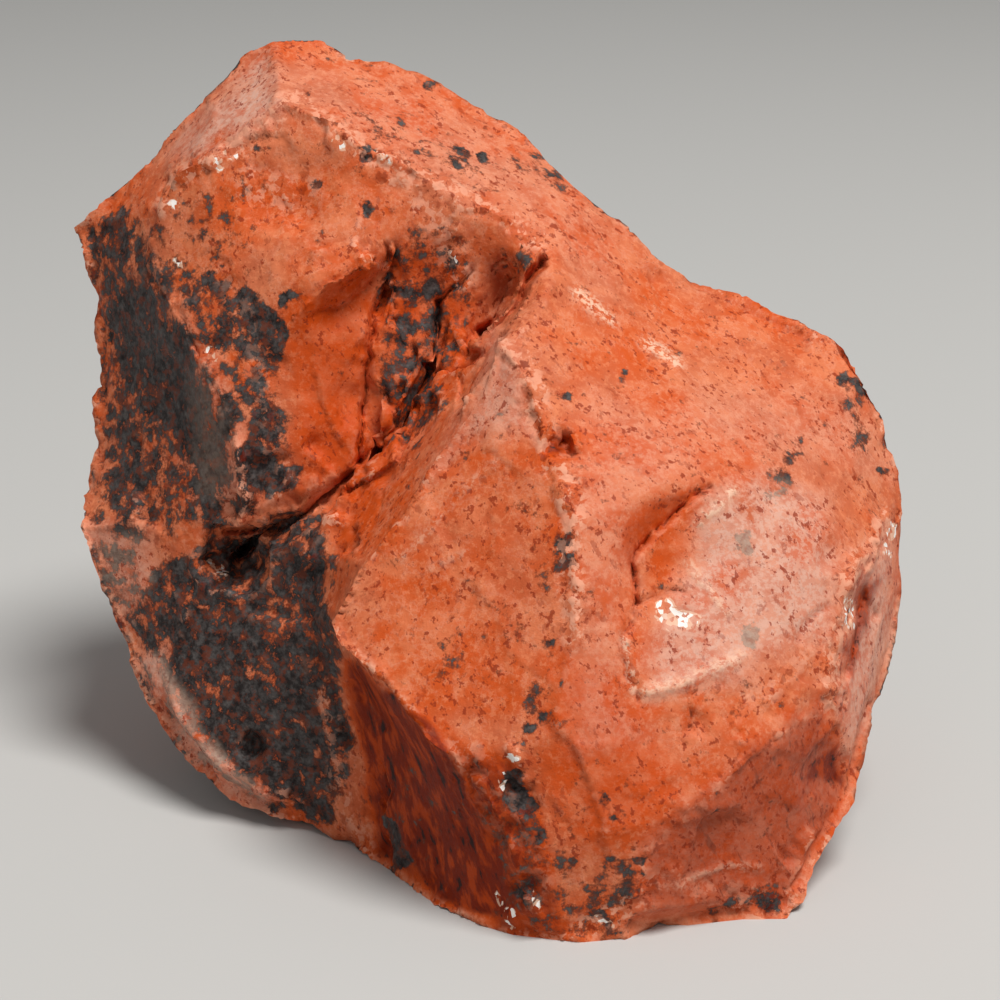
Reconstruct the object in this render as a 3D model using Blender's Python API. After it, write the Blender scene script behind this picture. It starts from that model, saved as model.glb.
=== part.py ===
"""Rough mahogany obsidian: one broken lump of rust-red and black volcanic glass.

The stone is drawn on a board that leans back: each point is (across, up, out) in whole
millimetres, across to the right, up the board, and out towards the front. The front and
the back are two sheets that share the outline. Ridges and steps are lines on a sheet,
and the glass between them is a fair surface, as a fracture leaves it.
"""

import math

import bmesh
import bpy
from mathutils import Matrix, Vector, geometry, noise

MM = 0.001
LEAN = math.radians(20)  # how far the drawing board leans back from upright
GROUND_CUT = 0.0  # the stone is rested on a flat at this height

FINE_EDGE = 4.0  # longest mesh edge on the front, mm
CREVICE_EDGE = 2.4  # longest mesh edge beside a crevice
BACK_EDGE = 8.0  # longest mesh edge on the back and under the stone
CREVICE_REACH = 4.0  # how far beside a crevice the mesh is fine
SPLIT_ROUNDS = 4  # how often the long edges are halved
SPLIT_OVER = 1.35  # an edge is halved when it is this many times too long
FRONT_FACING = 0.02  # a normal that points out more than this belongs to the front
SETTLE_ROUNDS = 60  # how long the glass between the drawn lines settles
FOLD_ROUNDS = 5  # how long the gentle folds round over
SAME_PLACE = 1e-4  # points nearer than this on a sheet are one
EAR_DEPTH = 3.0  # least thickness of a corner that lies between three outline points

SWELLINGS = [(11.0, 0.5), (5.0, 0.25)]  # size and height of the uneven ground, mm
CREVICE_CURVE = 1.5  # how fast a crevice steepens from its rim

GLASS_COLOUR = (0.46, 0.085, 0.035, 1.0)
GLASS_ROUGHNESS = 0.38

# The outline, clockwise from the crown, where the front sheet meets the back sheet.
OUTLINE = [
    (-41, 137, 2), (-32, 139, 0), (-28, 134, 0), (-21, 134, -1), (-11, 130, -2),
    (0, 123, -1), (11, 116, 2), (19, 107, 4), (27, 99, 6), (34, 94, 5), (43, 91, 5),
    (52, 87, 5), (57, 84, 6), (64, 82, 6), (66, 79, 6), (67, 74, 7), (69, 66, 8),
    (71, 55, 9), (71, 48, 9), (70, 39, 10), (69, 31, 12), (66, 22, 15), (63, 13, 20),
    (60, 5, 26), (56, 0, 29), (52, -6, 33), (50, -11, 36), (47, -14, 38),
    (40, -14, 38), (31, -15, 40), (26, -14, 40), (20, -16, 44), (13, -17, 45),
    (7, -16, 44), (2, -16, 43), (-3, -15, 40), (-10, -12, 34), (-16, -9, 26),
    (-20, -8, 21), (-26, -4, 14), (-29, -4, 12), (-33, -2, 10), (-41, 0, 8),
    (-47, 2, 6), (-54, 7, 3), (-59, 13, 1), (-63, 19, 0), (-66, 26, -1),
    (-69, 34, -2), (-72, 41, -2), (-76, 50, -2), (-75, 53, -4), (-75, 57, -6),
    (-74, 64, -8), (-73, 66, -8), (-75, 73, -9), (-73, 76, -9), (-74, 85, -9),
    (-73, 92, -8), (-75, 97, -7), (-78, 104, -6), (-73, 108, -5), (-69, 113, -5),
    (-62, 118, -3), (-61, 120, -3), (-56, 125, -1), (-50, 131, 0), (-44, 136, 1),
]

# Sharp ridges and steps on the front sheet.
FRONT_RIDGES = {
    "crown spine": [(-41, 137, 2), (-37, 124, 18)],
    "crown brow": [
        (-37, 124, 18), (-29, 120, 21), (-23, 115, 22), (-17, 113, 22), (-9, 108, 22),
        (0, 104, 23), (7, 99, 25),
    ],
    "left brow": [
        (-37, 124, 18), (-43, 121, 17), (-49, 115, 16), (-56, 112, 13), (-59, 108, 11),
        (-62, 101, 9), (-63, 98, 8),
    ],
    "flake edge": [
        (-63, 98, 8), (-59, 92, 12), (-54, 86, 16), (-51, 79, 18), (-47, 71, 20),
        (-45, 64, 21), (-44, 55, 20), (-45, 51, 17),
    ],
    "elbow edge": [
        (-76, 50, -2), (-68, 51, 3), (-57, 52, 8), (-50, 51, 13), (-45, 51, 17),
    ],
    "left foot edge": [
        (-66, 26, -1), (-62, 27, 4), (-57, 17, 7), (-50, 9, 10), (-42, 4, 12),
        (-33, 1, 13), (-29, -4, 12),
    ],
    "right brow": [
        (7, 99, 25), (8, 95, 28), (6, 90, 31), (3, 84, 35), (0, 81, 37), (-3, 72, 37),
        (-10, 62, 37), (-16, 52, 38), (-23, 44, 38), (-27, 35, 38), (-26, 32, 40),
    ],
    "overhang lip": [
        (-26, 32, 40), (-19, 26, 44), (-11, 17, 49), (-7, 14, 50), (-3, 9, 51),
        (2, -1, 50), (5, -12, 46), (7, -16, 44),
    ],
    "crushed ridge": [
        (0, 81, 37), (5, 74, 41), (7, 67, 44), (10, 58, 47), (12, 52, 49), (11, 46, 50),
        (12, 33, 52),
    ],
    "toe ridge": [(20, -16, 44), (22, -7, 48), (24, -1, 50)],
    "lower right ridge": [
        (24, -1, 50), (30, 6, 50), (39, 13, 49), (47, 18, 44), (55, 22, 38),
    ],
    "right end ridge": [(55, 22, 38), (58, 14, 32), (60, 5, 26)],
    "right cheek": [
        (71, 48, 9), (65, 48, 22), (60, 45, 30), (58, 40, 33), (58, 36, 32),
        (56, 30, 35), (55, 22, 38),
    ],
    "arc lip": [(-34, 87, 26), (-30, 91, 27), (-26, 93, 27), (-22, 95, 26)],
    "arc foot": [(-31, 86, 20), (-26, 88, 17), (-20, 92, 15), (-18, 99, 19)],
    "slot": [(-20, 92, 15), (-22, 85, 17), (-23, 78, 17), (-24, 70, 16), (-21, 63, 17)],
    "gully floor": [
        (3, 96, 15), (1, 90, 14), (-3, 84, 16), (-8, 76, 21), (-13, 68, 22),
        (-18, 62, 23), (-20, 56, 26), (-24, 49, 29),
    ],
    "left crevice": [
        (-10, 90, 15), (-12, 78, 15), (-15, 72, 16), (-17, 67, 17), (-21, 63, 17),
        (-28, 58, 17), (-34, 53, 15), (-41, 50, 13), (-46, 46, 8),
    ],
    "slab edge": [
        (-29, 36, 27), (-25, 26, 27), (-22, 18, 26), (-20, 8, 24), (-20, -8, 21),
    ],
    "slab back edge": [(-29, 36, 27), (-30, 21, 20), (-29, -4, 12)],
    "crescent lip": [
        (35, 57, 41), (31, 56, 43), (27, 53, 45), (23, 47, 47), (21, 39, 48),
        (21, 33, 49), (23, 26, 49),
    ],
    "crescent foot": [(35, 55, 40), (30, 53, 40), (27, 48, 41), (25, 42, 43), (24, 36, 46)],
}

# Gentle folds, rounded over at the end.
FRONT_FOLDS = {
    "nose": [(12, 33, 52), (14, 20, 55), (19, 7, 54), (24, -1, 50)],
    "shoulder": [(10, 58, 47), (23, 60, 44), (35, 57, 41)],
    "right shoulder": [(35, 57, 41), (45, 52, 39), (55, 46, 34), (60, 45, 30)],
    "cream ledge": [(23, 26, 49), (32, 28, 49), (39, 30, 47), (47, 29, 43), (55, 22, 38)],
}

# Single heights inside the facets: hollows and swellings.
FRONT_HEIGHTS = [
    (-64, 73, -2), (-55, 68, 8), (-65, 88, -1), (-70, 100, 1), (-62, 60, 3),
    (-44, 107, 22), (-36, 107, 18), (-28, 108, 24), (-43, 94, 23), (-40, 75, 22),
    (-31, 72, 25), (-34, 61, 23), (-26, 82, 25), (-19, 86, 24), (-19, 80, 24),
    (-18, 74, 24), (-26, 66, 24), (-11, 98, 22), (-5, 96, 23), (-5, 88, 21),
    (-9, 84, 20), (-7, 80, 20), (-26, 50, 24), (-31, 46, 24), (-47, 28, 15),
    (-38, 40, 19), (-55, 38, 9), (-60, 44, 7), (-40, 15, 17),
    (-12, 0, 34), (-14, 12, 37), (-25, 8, 20), (-4, 50, 42), (-12, 42, 42),
    (-2, 28, 49), (42, 45, 42), (32, 40, 46), (48, 35, 42), (30, 72, 27),
    (50, 66, 25), (16, 90, 20), (14, 76, 34), (37, 0, 41), (48, 3, 36),
    (66, 36, 22), (64, 24, 24),
]

# The back sheet: broad fracture faces, the underside and the ends.
BACK_RIDGES = {
    "top back edge": [
        (-62, 112, -24), (-42, 124, -26), (-22, 122, -30), (0, 110, -32), (26, 88, -27),
        (50, 76, -22), (62, 62, -14),
    ],
    "top back left": [(-62, 112, -24), (-78, 104, -6)],
    "top back right": [(62, 62, -14), (71, 55, 9)],
    "back keel": [
        (-22, 122, -30), (-16, 96, -50), (-8, 66, -58), (4, 44, -60), (8, 22, -54),
    ],
    "left end": [
        (-62, 112, -24), (-58, 84, -40), (-52, 56, -42), (-50, 32, -36), (-46, 15, -28),
    ],
    "right end": [(50, 76, -22), (52, 52, -36), (50, 34, -38), (46, 16, -34)],
    "right end foot": [(46, 16, -34), (48, 3, -6), (47, -6, 14), (50, -11, 36)],
    "heel": [(-46, 15, -28), (-30, 15, -45), (8, 22, -54), (30, 16, -46), (46, 16, -34)],
    "left end foot": [(-46, 15, -28), (-40, 2, -4), (-30, -3, 8), (-26, -4, 14)],
}

# Single heights inside the facets of the back.
BACK_HEIGHTS = [
    (-34, 136, -5), (62, 82, 1), (-70, 78, -26), (-71, 50, -15), (-69, 40, -14),
    (-71, 100, -20), (45, -13, 30), (66, 44, -6), (-64, 46, -24), (-58, 24, -16),
    (-48, 8, -8), (-36, 84, -46), (-30, 50, -50), (24, 62, -44), (28, 38, -48),
    (60, 40, -16), (60, 20, -4), (56, 4, 12), (0, -2, 1), (-16, -6, 11),
    (30, -10, 22), (10, 8, -26), (-20, 7, -22), (34, 5, -18), (10, -14, 34),
]

# Crevices pressed into the front: half width, depth, and the line (across, up).
CREVICES = {
    "lip crack": (2.6, 4.0, [(3, 96), (1, 90), (-3, 84)]),
    "gully crack": (2.4, 3.0, [(-10, 90), (-12, 78), (-15, 72), (-17, 67), (-21, 63)]),
    "cross crack": (2.6, 3.5, [(-21, 63), (-28, 58), (-34, 53), (-41, 50), (-46, 46)]),
    "slot": (2.2, 2.5, [(-20, 92), (-22, 85), (-23, 78), (-24, 70), (-21, 63)]),
}

# Pits and chips: (across, up), radius, depth.
PITS = {
    "deep hole": ((-46, 45), 6.0, 4.0),
    "brow hollow": ((-36, 108), 7.0, 2.0),
    "ridge pit": ((10, 64), 3.5, 2.5),
    "low left pit": ((-43, 12), 3.5, 2.5),
    "corner chip": ((56, 9), 7.0, 2.0),
    "glassy chip": ((3, 10), 4.5, 1.8),
}


def clear_scene():
    for item in list(bpy.data.objects):
        bpy.data.objects.remove(item, do_unlink=True)


def closed(line):
    return line + line[:1]


def fill_triangle(bm, corners):
    """One triangle, or three round a low middle point where the front already has it."""
    if not bm.faces.get(corners):
        bm.faces.new(corners)
        return
    middle = sum((v.co for v in corners), Vector()) / 3
    peak = bm.verts.new(middle - Vector((0, 0, EAR_DEPTH)))
    for a, b in zip(corners, corners[1:] + corners[:1]):
        bm.faces.new((a, b, peak))


def lay_sheet(bm, found, hard, soft, heights, faces_front):
    """Fill one side of the outline with triangles that keep every drawn line as an edge."""
    lines = [closed(OUTLINE)] + hard + soft
    points = []
    for point in [p for line in lines for p in line] + heights:
        if point not in points:
            points.append(point)
    index = {point: i for i, point in enumerate(points)}
    drawn = [(index[a], index[b]) for line in lines for a, b in zip(line, line[1:])]
    flat = [Vector(point[:2]) for point in points]
    whole = [index[point] for point in reversed(OUTLINE)]
    laid = geometry.delaunay_2d_cdt(flat, drawn, [whole], 0, SAME_PLACE, True)
    verts, origins = laid[0], laid[3]
    triangles = [face for face, inside in zip(laid[2], laid[5]) if inside]
    if len(verts) != len(points):
        raise ValueError("two drawn lines cross, or a point lies off the sheet")
    for point in points:
        if point not in found:
            found[point] = bm.verts.new(point)
    at = [found[points[origin[0]]] for origin in origins]
    for triangle in triangles:
        corners = [at[i] for i in triangle]
        fill_triangle(bm, corners if faces_front else corners[::-1])
    for line in lines:
        for a, b in zip(line, line[1:]):
            edge = bm.edges.get((found[a], found[b]))
            edge.seam = True
            edge.smooth = line in soft


def line_distance(point, line):
    """How far a point of the board lies from a line drawn on it."""
    best = 1e9
    for a, b in zip(line, line[1:]):
        a, b = Vector(a), Vector(b)
        along = (b - a).normalized()
        reach = min(max((point - a).dot(along), 0.0), (b - a).length)
        best = min(best, (point - a - along * reach).length)
    return best


def wanted_edge(middle, normal):
    """The longest mesh edge for a place on the stone."""
    if normal.z < FRONT_FACING:
        return BACK_EDGE
    lines = [line for _, _, line in CREVICES.values()]
    if min(line_distance(middle.xy, line) for line in lines) < CREVICE_REACH:
        return CREVICE_EDGE
    return FINE_EDGE


def split_once(bm):
    """Halve each edge that is longer than its place wants."""
    bm.normal_update()
    long_edges = []
    for edge in bm.edges:
        middle = (edge.verts[0].co + edge.verts[1].co) / 2
        normal = edge.verts[0].normal + edge.verts[1].normal
        if edge.calc_length() > SPLIT_OVER * wanted_edge(middle, normal):
            long_edges.append(edge)
    bmesh.ops.subdivide_edges(bm, edges=long_edges, cuts=1)
    bmesh.ops.triangulate(bm, faces=[f for f in bm.faces if len(f.verts) > 3])
    free = [e for e in bm.edges if not e.seam]
    bmesh.ops.beautify_fill(bm, faces=bm.faces[:], edges=free, method="ANGLE")


def relax(bm, held, rounds):
    """Let the glass between the held points settle into a fair surface."""
    free = [v for v in bm.verts if v not in held]
    for _ in range(rounds):
        bmesh.ops.smooth_vert(
            bm, verts=free, factor=0.5, use_axis_x=True, use_axis_y=True, use_axis_z=True
        )


def on_edges(bm, keep):
    return {v for e in bm.edges if keep(e) for v in e.verts}


def on_front(bm):
    return [v for v in bm.verts if v.normal.z > FRONT_FACING]


def press_crevices(bm):
    for vert in on_front(bm):
        spot = vert.co.xy
        for half_width, depth, line in CREVICES.values():
            away = line_distance(spot, line) / half_width
            if away < 1.0:
                vert.co.z -= depth * (1.0 - away * away) ** CREVICE_CURVE


def press_pits(bm):
    for vert in on_front(bm):
        for centre, radius, depth in PITS.values():
            away = (vert.co.xy - Vector(centre)).length / radius
            if away < 1.0:
                vert.co.z -= depth * (1.0 - away * away)


def roughen(bm):
    """Small irregular swellings, as no fracture is quite even."""
    bm.normal_update()
    for vert in bm.verts:
        swell = sum(height * noise.noise(vert.co / size) for size, height in SWELLINGS)
        vert.co += vert.normal * swell


def stand(bm):
    """Lean the stone back, cut the flat that it rests on, and centre it over the origin."""
    lean_back = Matrix.Rotation(math.pi / 2 - LEAN, 4, "X")
    bmesh.ops.transform(bm, matrix=lean_back, verts=bm.verts)
    cut = bmesh.ops.bisect_plane(
        bm, geom=bm.verts[:] + bm.edges[:] + bm.faces[:], plane_co=(0, 0, GROUND_CUT),
        plane_no=(0, 0, -1), clear_outer=True,
    )
    rim = [item for item in cut["geom_cut"] if isinstance(item, bmesh.types.BMEdge)]
    bmesh.ops.triangle_fill(bm, edges=rim, normal=(0, 0, -1), use_beauty=True)
    bmesh.ops.recalc_face_normals(bm, faces=bm.faces[:])
    low = [min(v.co[i] for v in bm.verts) for i in range(3)]
    high = [max(v.co[i] for v in bm.verts) for i in range(3)]
    shift = Vector((-(low[0] + high[0]) / 2, -(low[1] + high[1]) / 2, -low[2]))
    bmesh.ops.translate(bm, vec=shift, verts=bm.verts)


def glass():
    """The one glass of the stone."""
    material = bpy.data.materials.new("mahogany_obsidian")
    material.use_nodes = True
    shader = material.node_tree.nodes["Principled BSDF"]
    shader.inputs["Base Color"].default_value = GLASS_COLOUR
    shader.inputs["Roughness"].default_value = GLASS_ROUGHNESS
    shader.inputs["Metallic"].default_value = 0.0
    material.diffuse_color = GLASS_COLOUR
    return material


def build_stone():
    bm = bmesh.new()
    found = {}
    ridges, folds = list(FRONT_RIDGES.values()), list(FRONT_FOLDS.values())
    lay_sheet(bm, found, ridges, folds, FRONT_HEIGHTS, True)
    lay_sheet(bm, found, list(BACK_RIDGES.values()), [], BACK_HEIGHTS, False)
    drawn = set(bm.verts)
    for _ in range(SPLIT_ROUNDS):
        split_once(bm)
    relax(bm, drawn | on_edges(bm, lambda e: e.seam), SETTLE_ROUNDS)
    relax(bm, on_edges(bm, lambda e: not e.smooth), FOLD_ROUNDS)
    bm.normal_update()
    press_crevices(bm)
    press_pits(bm)
    roughen(bm)
    stand(bm)
    bmesh.ops.scale(bm, vec=(MM, MM, MM), verts=bm.verts)
    mesh = bpy.data.meshes.new("obsidian_stone")
    bm.to_mesh(mesh)
    bm.free()
    mesh.materials.append(glass())
    stone = bpy.data.objects.new("obsidian_stone", mesh)
    bpy.context.scene.collection.objects.link(stone)


clear_scene()
build_stone()
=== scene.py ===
import math

import bmesh
import bpy
import numpy as np
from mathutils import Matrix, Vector, noise
from mathutils.kdtree import KDTree


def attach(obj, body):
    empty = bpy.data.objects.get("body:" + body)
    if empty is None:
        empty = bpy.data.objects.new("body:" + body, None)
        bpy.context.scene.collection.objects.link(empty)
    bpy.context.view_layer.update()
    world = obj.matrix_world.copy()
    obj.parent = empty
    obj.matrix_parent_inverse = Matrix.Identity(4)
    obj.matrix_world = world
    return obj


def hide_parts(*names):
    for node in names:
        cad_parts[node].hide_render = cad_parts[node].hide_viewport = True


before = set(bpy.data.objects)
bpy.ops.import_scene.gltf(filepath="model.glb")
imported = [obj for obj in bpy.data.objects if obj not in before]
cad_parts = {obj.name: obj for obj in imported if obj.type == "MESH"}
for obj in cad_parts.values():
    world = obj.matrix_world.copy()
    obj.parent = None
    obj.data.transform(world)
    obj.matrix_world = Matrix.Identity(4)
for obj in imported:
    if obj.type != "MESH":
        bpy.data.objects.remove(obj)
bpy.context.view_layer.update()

# Rough mahogany obsidian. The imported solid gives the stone's body. A finer copy of it gets
# its flake scars, cracks, pits and crushed ridges here, and one glass finish.
# Marks on the front are placed on a sight sheet: millimetres across and up on a sheet that
# leans back with the broad face, where the eye sees each mark from its place in front.

NODE = "obsidian_stone"
MM = 0.001
LEAN = math.radians(20)  # the broad face leans back by this much
SIGHT = 450.0  # from the sight sheet to the eye, mm
SHEET_SHIFT = Vector((3.44, -15.90, 0.0))  # the sheet's origin, mm
EYE_HEIGHT = 55.2  # how far up the sheet the eye looks, mm

FRONT_EDGE = 0.74  # wanted length of a fine edge where the stone faces the eye, mm
BACK_EDGE = 1.7  # and where it faces away, mm
SPLIT_PAST = 1.4  # an edge is split while it is longer than this many wanted lengths
MOST_SPLITS = 5  # rounds of splitting
SMOOTH_ROUNDS = 5  # rounds of smoothing between the sharp folds
CREASE = math.radians(13)  # a sharper fold than this stays sharp
SHARP = math.radians(32)  # and a fold this sharp is drawn crisp
NEEDLE = (1.1, 1.8)  # chips that stand out from this much to this much are taken back, mm
TOP_FIN = (127.4, 129.4)  # heights between which the crown's thin top edge is eased, mm
MOST_PRESS = 1.6  # furthest that a face is pressed flat, mm
FEW_BLACK = 0.19  # how black the plain red glass is
SPOT_BLACK = 0.66  # and the middle of a single spot
SEED = 11

# Cracks: half width, depth, and the line on the sight sheet.
CRACKS = {
    "gully mouth": (1.3, 5.0, [(7.5, 98), (5, 95), (3.5, 91), (1, 88.5), (-3, 85.5)]),
    "side nick": (0.5, 1.4, [(-3, 80), (-7, 78), (-7, 73)]),
    "gully branch": (0.5, 1.8, [(-11, 91), (-8, 93.5), (-5, 96.5)]),
    "gully vein": (0.4, 1.2, [(-20, 98), (-19, 90), (-17, 82), (-15.5, 76), (-14, 72)]),
    "floor vein": (0.4, 1.2, [(-22, 76), (-18, 68), (-16, 62), (-20, 58)]),
    "gully crevice": (0.9, 3.2, [
        (-11, 91), (-12, 84), (-12.5, 79), (-16, 73), (-18, 68), (-22.5, 64), (-25.5, 62),
        (-28, 59), (-32, 55), (-35, 52.5), (-42, 50.5), (-49.5, 49),
    ]),
    "slot": (0.8, 2.6, [(-20.5, 101), (-21, 94.5), (-23, 87), (-24, 78.5), (-25, 71), (-25.5, 62)]),
    "thin crack": (0.5, 1.8, [(-21, 57.5), (-22, 52.5), (-24.5, 46), (-27, 38.5), (-29, 34)]),
    "crescent": (0.7, 1.2, [
        (25, 19), (24.5, 21.5), (23, 24), (22.5, 27.5), (22, 30), (24, 32.5), (25, 37), (24.5, 41),
        (24, 43.5), (25, 46), (26.5, 47.5), (28, 49.5), (31.5, 52.5), (35.5, 56), (38, 57.5),
    ]),
    "sparkle crack": (0.6, 1.2, [(25, 36.5), (28, 37.5), (30, 39), (33, 38.5)]),
    "cheek arc": (0.6, 1.1, [(53.5, 30), (54.5, 32.5), (56.5, 35), (59, 36.5)]),
    "low nick": (0.5, 1.0, [(34.5, 17), (34, 12), (33, 10.5)]),
    "left slit": (0.8, 2.0, [(-70, 85), (-69.5, 82)]),
    "cheek crack": (0.7, 1.6, [(68, 47), (66, 43.5), (64, 39), (63, 33), (61, 26)]),
}

# Fine raised lines that a fracture leaves: half width, height, how pale, and the line. The paleness is
# cream scuffing, and on the streak and the scoop glint line a painted highlight.
HACKLES = {
    "long hackle": (0.5, 0.45, 0.35, [(-0.5, 62), (-5.5, 58), (-12.5, 50.5), (-18, 44.5)]),
    "short hackle": (0.4, 0.35, 0.3, [(-4.5, 47), (-9, 44.5), (-12.5, 42.5)]),
    "upper scuff": (0.9, 0.35, 1.0, [(14, 92.5), (17, 90), (20, 87.5)]),
    "lower scuff": (0.9, 0.35, 1.0, [(26, 83.5), (29, 82), (32, 80)]),
    "streak": (0.6, 0.4, 0.8, [(22.5, 30), (23.5, 26), (24, 21)]),
    "scoop line": (0.6, 0.4, 0.8, [(34, 44), (37, 40), (40.5, 35)]),
    "scoop glint line": (0.8, 0.4, 1.0, [(36, 51.5), (39, 54), (42, 57)]),
    "cream ledge": (1.0, 0.6, 0.7, [(26, 21), (32, 22), (38, 25), (43, 27)]),
    "toe arc": (0.5, 0.45, 0.35, [(32.5, -14), (36, -12), (41.5, -10.5), (47, -11)]),
}

# Steps where one fracture face stands above the next, on the left of the line: height,
# how far it takes to fall back, and the line.
LEDGES = {
    "arc lip": (1.2, 5.0, [
        (-20.5, 97), (-23.5, 97.5), (-28, 95.5), (-32.5, 93), (-36.5, 89.5), (-38.5, 85),
    ]),
    "orange plane": (0.9, 4.0, [(-27.5, 79), (-24.5, 84), (-21.5, 90)]),
    "ridge facet": (0.4, 3.0, [(8.5, 68), (8.5, 63.5), (10, 57), (11, 51.5), (13.5, 47)]),
    "ridge facet low": (0.35, 3.0, [(12, 47), (13, 41.5), (12, 36.5), (13, 30)]),
    "gully wall": (1.0, 4.0, [(-9, 111), (-8.5, 104), (-9, 98), (-11, 92)]),
    "gully rib": (0.8, 3.0, [(-4, 97), (-5, 90), (-7.5, 84), (-9, 78)]),
    "gully shelf": (0.8, 3.0, [(-2, 82), (-5, 76), (-10, 70), (-14, 63)]),
    "plane step": (0.7, 3.0, [(-34, 84), (-33, 76), (-31, 70), (-28, 65), (-25, 62)]),
    "brow chip": (0.8, 3.0, [(-48, 118), (-44, 121), (-39, 121), (-37, 118)]),
    "face step": (0.5, 5.0, [(-8, 66), (-12, 58), (-18, 50), (-22, 44)]),
    "front step": (0.4, 4.0, [(-2, 56), (-1, 48), (-4, 40), (-3, 32)]),
    "small arc": (0.6, 3.0, [(-54.5, 99), (-52, 100.5), (-48.5, 98), (-48, 94)]),
    "slab edge": (0.9, 5.0, [(-24.5, 27), (-23, 15), (-20, 2), (-18, -8)]),
    "nose edge": (0.6, 8.0, [(13, 62), (14, 52), (13.5, 42), (12.5, 30), (11, 18)]),
    "cream step": (0.8, 4.0, [(43, 27), (38, 25), (32, 22), (25, 21)]),
    "cheek step": (0.8, 4.0, [(60, 19), (59, 28), (62, 36), (66, 45)]),
    "left flake edge": (0.9, 4.0, [(-47, 63), (-53, 78), (-58, 89), (-65, 98)]),
}

# Bites with one straight slope, on the left of the line: depth at the line, width, and the line.
BITES = {
    "crescent hollow": (2.1, 5.5, [
        (24, 32.5), (25, 37), (24.5, 41), (24, 43.5), (25, 46), (26.5, 47.5), (28, 49.5),
        (31.5, 52.5), (35.5, 56), (38, 57.5),
    ]),
    "cheek notch": (1.8, 3.5, [(62.5, 21), (64, 27.5), (65.5, 35.5), (67, 41.5)]),
    "upper arc": (1.6, 5.0, [(-20.5, 98), (-24, 94), (-29, 90.5), (-35, 88)]),
}

# Folds of the solid that are eased before the fine marks go on: rounds of easing, and outline.
EASED_PLACES = {
    "scoop": (60, [(36, 63), (60, 58), (62, 32), (46, 23), (22, 20), (17, 32), (18, 46), (25, 59)]),
    "arc": (60, [(-42, 82), (-39, 95), (-28, 100), (-22, 97), (-22, 80), (-30, 76)]),
    "gully head": (90, [
        (-19.5, 113), (-5.5, 111), (7, 106.5), (13.5, 98), (9.5, 89.5), (-2, 85), (-12.5, 87.5),
        (-17, 98.5),
    ]),
    "plane": (30, [(-36, 86), (-23, 87.5), (-23.5, 66), (-30.5, 59.5), (-36.5, 68)]),
    "brow hollow": (40, [(-50, 104), (-48, 116), (-38, 120), (-28, 116), (-30, 104)]),
}

# Scoops where a flake has left the front: centre, radius, depth.
SCOOPS = {
    "corner chip": ((58, 6), 6.0, 1.6),
    "glassy chip": ((4, 2), 4.0, 1.4),
    "brow hollow": ((-38.5, 111), 9.0, 1.0),
    "brow hollow low": ((-36, 108), 4.0, 0.8),
    "ridge pit": ((10.5, 65), 2.8, 1.8),
    "cheek chip": ((65, 36), 3.5, 1.8),
    "cheek chip low": ((61, 24), 2.6, 1.4),
    "cheek flake": ((60, 45), 4.0, 1.2),
    "crest chip high": ((-6, 6), 2.6, 1.4),
    "crest chip middle": ((1, -4), 3.0, 1.6),
    "crest chip low": ((5, -14), 3.0, 1.6),
    "left ridge chip": ((-54, 83), 2.0, 1.0),
    "left ridge chip low": ((-48, 68), 1.8, 0.9),
    "deep hole": ((-47, 45), 4.2, 4.0),
    "hole flake": ((-52, 43), 3.0, 1.4),
    "low left pit": ((-44, 11), 3.0, 2.0),
    "brow nick": ((-23.5, 117.5), 2.0, 1.2),
    "low dent": ((35, 15), 3.4, 1.0),
    "sparkle chip": ((31.5, 34.5), 2.6, 0.6),
}

# Edges where the glass is crushed into small angular chips: half width, strength, line.
CRUSHED_EDGES = {
    "right ridge": (3.6, 1.0, [
        (1.8, 82.2), (5.4, 76.8), (8, 68), (10.8, 59), (13.5, 55), (12.6, 44.5), (13.5, 30),
    ]),
    "crown brow": (3.0, 1.0, [
        (-38.7, 127), (-36, 127), (-24, 118), (-18, 115.5), (-9, 111), (0, 106.5), (7, 102),
    ]),
    "below the brow": (4.5, 0.8, [(-20, 113), (-14, 109), (-9, 104), (-8, 96)]),
    "cheek": (3.4, 1.0, [(70, 52), (68, 48), (61, 39), (63, 35.5), (60, 30), (60, 19)]),
    "crest": (1.3, 0.7, [(-28.8, 31), (-21.6, 23), (-12.6, 13), (-8, 8.4)]),
    "crest foot": (5.0, 1.0, [(-7, 9), (-1, 3), (3.5, -6), (6, -14), (7, -22)]),
    "brow hollow": (6.0, 0.7, [(-44, 112), (-36, 110)]),
    "left ridge": (1.3, 0.25, [(-62, 108), (-64, 99), (-60, 93), (-56, 87.6), (-53, 80), (-47, 64)]),
    "left brow": (3.0, 1.0, [(-61, 108), (-57, 114), (-51, 117), (-44, 120), (-38, 127)]),
    "left edge": (2.2, 0.7, [(-77, 102), (-74, 92), (-73, 80), (-76, 50), (-66, 30)]),
    "underside": (3.4, 1.0, [(2, -23), (11, -24), (25, -17), (29, -13), (47, -17), (53, -17)]),
    "toe ridge": (1.6, 0.7, [(60, 19), (43, 7.5), (27, -8), (24, -14)]),
    "right top edge": (1.8, 0.25, [(28, 97), (45, 88), (61, 82), (66, 82), (72, 60)]),
    "slab foot": (2.6, 0.7, [(-31, 22), (-29, 4), (-24, -8)]),
    "middle left": (3.0, 0.5, [(-50, 96), (-44, 84), (-42, 70), (-38, 60)]),
    "cheek chips": (3.0, 0.6, [(55, 28), (48, 20), (36, 22), (27, 20)]),
}

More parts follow.
